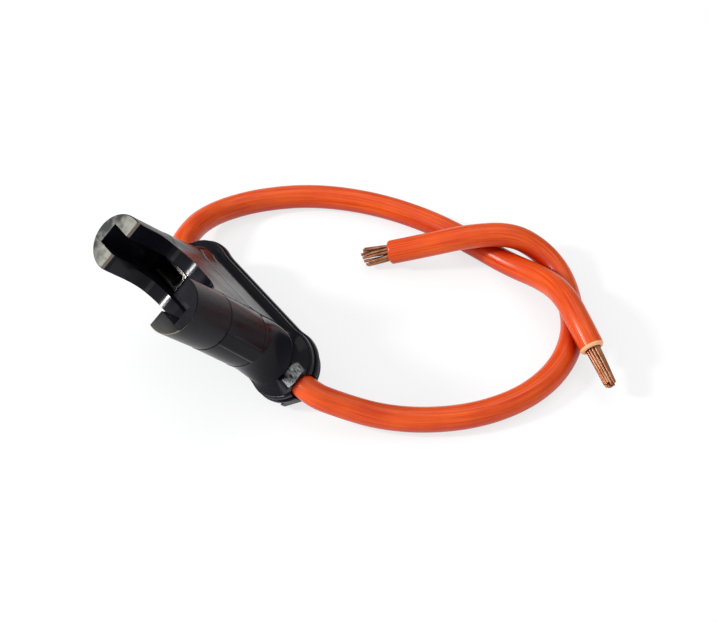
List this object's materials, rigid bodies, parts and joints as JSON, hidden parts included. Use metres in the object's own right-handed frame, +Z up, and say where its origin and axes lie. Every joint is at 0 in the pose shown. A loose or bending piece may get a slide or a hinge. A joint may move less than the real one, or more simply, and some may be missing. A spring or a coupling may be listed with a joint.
{
  "type": "inline fuse holder",
  "caption": "Inline holder for a blade fuse: a black moulded body with a finger scoop and a slot, and two short orange leads with bare ends.",
  "frame": {"origin": "on the bench, under the middle of the holder without its leads", "axes": "+X along the line between the two wire exits, +Z up, the leads lie on the +Y side and the fuse opening leans 37 degrees towards -Y"},
  "size_m": [0.0673, 0.0671, 0.0275],
  "materials": {
    "black_plastic": "satin to gloss moulded, near black",
    "tinned_metal": "tin plated",
    "orange_jacket": "soft vinyl, satin",
    "copper": "bare copper"
  },
  "bodies": {
    "root": {"fuse_socket": "black_plastic", "wire_base": "black_plastic", "bottom_cover": "black_plastic", "right_terminal": "tinned_metal", "left_terminal": "tinned_metal", "left_lead_jacket": "orange_jacket", "left_lead_conductor": "copper", "left_lead_bare_strands": "copper", "right_lead_jacket": "orange_jacket", "right_lead_conductor": "copper", "right_lead_bare_strands": "copper"}
  },
  "joints": []
}
